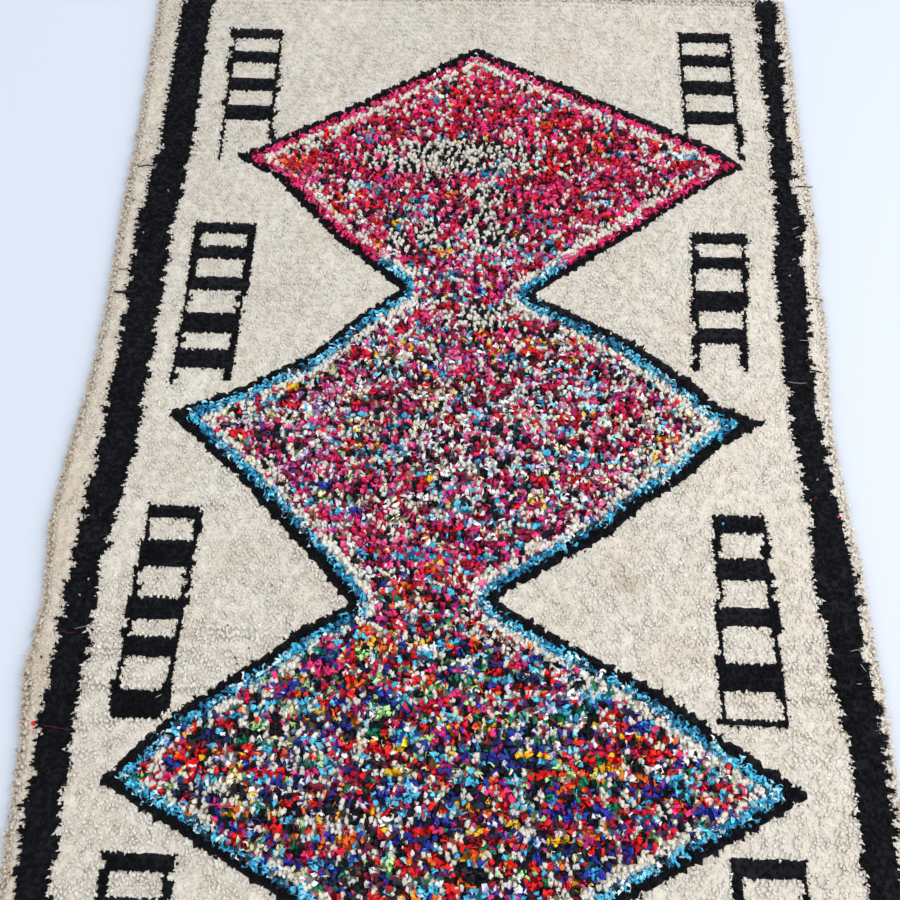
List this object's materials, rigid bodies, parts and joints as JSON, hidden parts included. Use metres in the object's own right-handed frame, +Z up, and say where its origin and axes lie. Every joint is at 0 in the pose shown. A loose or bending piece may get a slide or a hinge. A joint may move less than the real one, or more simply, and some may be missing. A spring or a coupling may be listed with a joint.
{
  "type": "azilal rug",
  "caption": "Flat hand-knotted pile rug with an ivory ground, black side stripes and ladders, and a row of rag-pile diamonds.",
  "frame": {"origin": "middle of the rug on its underside", "axes": "+Z up out of the pile, +Y along the rug's length, +X across it"},
  "size_m": [1.2158, 1.8776, 0.0195],
  "materials": {
    "ivory_wool": "matt wool pile",
    "black_wool": "matt wool pile",
    "rag_mix": "satin rag strips of many colours"
  },
  "bodies": {
    "root": {"rug": "ivory_wool"}
  },
  "joints": []
}
